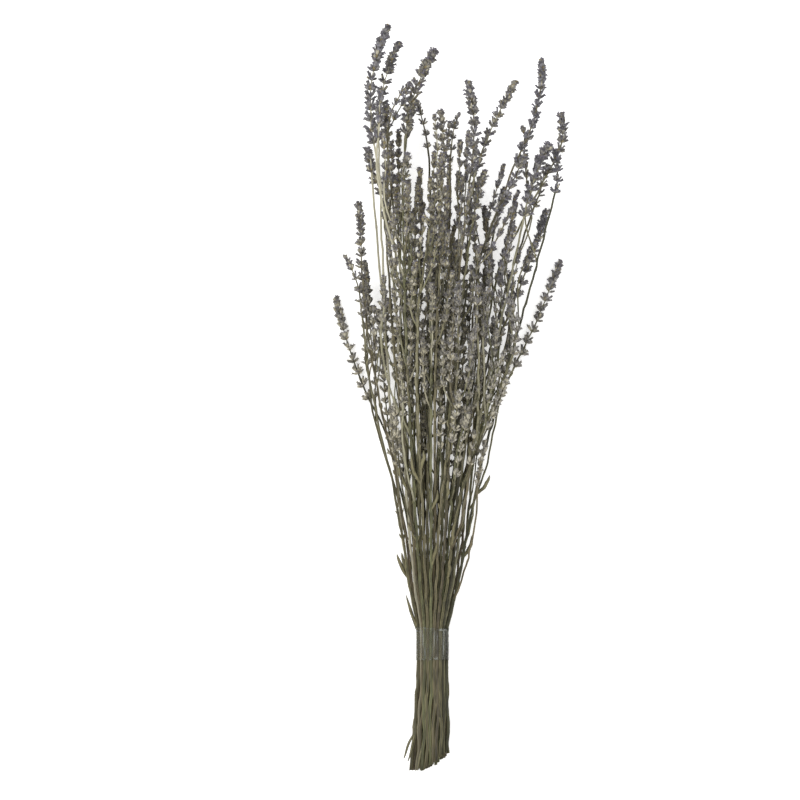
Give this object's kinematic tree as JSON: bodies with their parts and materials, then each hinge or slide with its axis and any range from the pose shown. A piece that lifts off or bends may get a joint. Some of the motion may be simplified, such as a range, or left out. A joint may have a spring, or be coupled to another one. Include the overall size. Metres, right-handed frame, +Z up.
{
  "type": "dried lavender bunch",
  "caption": "Bunch of dried lavender lying on its side: square stalks with spikes of stacked whorls fan out from a clear film band near their cut ends.",
  "frame": {"origin": "on the surface that the bunch lies on, below the middle of its box", "axes": "+Y from the cut ends to the flower tips, +X to the right as seen from above, +Z up"},
  "size_m": [0.188, 0.6001, 0.1019],
  "materials": {
    "spike_violet": "matte",
    "spike_grey": "matte",
    "spike_olive": "matte",
    "dry_stalk": "matte",
    "clear_film": "gloss"
  },
  "bodies": {
    "root": {"stem_01": "spike_violet", "stem_02": "spike_grey", "stem_03": "spike_olive", "stem_04": "spike_violet", "stem_05": "spike_grey", "stem_06": "spike_olive", "stem_07": "spike_violet", "stem_08": "spike_grey", "stem_09": "spike_olive", "stem_10": "spike_violet", "stem_11": "spike_grey", "stem_12": "spike_olive", "stem_13": "spike_violet", "stem_14": "spike_grey", "stem_15": "spike_olive", "stem_16": "spike_violet", "stem_17": "spike_grey", "stem_18": "spike_olive", "stem_19": "spike_violet", "stem_20": "spike_grey", "stem_21": "spike_olive", "stem_22": "spike_violet", "stem_23": "spike_grey", "stem_24": "spike_olive", "stem_25": "spike_violet", "stem_26": "spike_grey", "stem_27": "spike_olive", "stem_28": "spike_violet", "stem_29": "spike_grey", "stem_30": "spike_olive", "stem_31": "spike_violet", "stem_32": "spike_grey", "stem_33": "spike_olive", "stem_34": "spike_violet", "stem_35": "spike_grey", "stem_36": "spike_olive", "stem_37": "spike_violet", "stem_38": "spike_grey", "stem_39": "spike_olive", "stem_40": "spike_violet", "stem_41": "spike_grey", "stem_42": "spike_olive", "stem_43": "spike_violet", "stem_44": "spike_grey", "stem_45": "spike_olive", "stem_46": "spike_violet", "stem_47": "spike_grey", "stem_48": "spike_olive", "stem_49": "spike_violet", "stem_50": "spike_grey", "stem_51": "spike_olive", "stem_52": "spike_violet", "stem_53": "spike_grey", "stem_54": "spike_olive", "stem_55": "spike_violet", "stem_56": "spike_grey", "tie_band": "clear_film"}
  },
  "joints": []
}
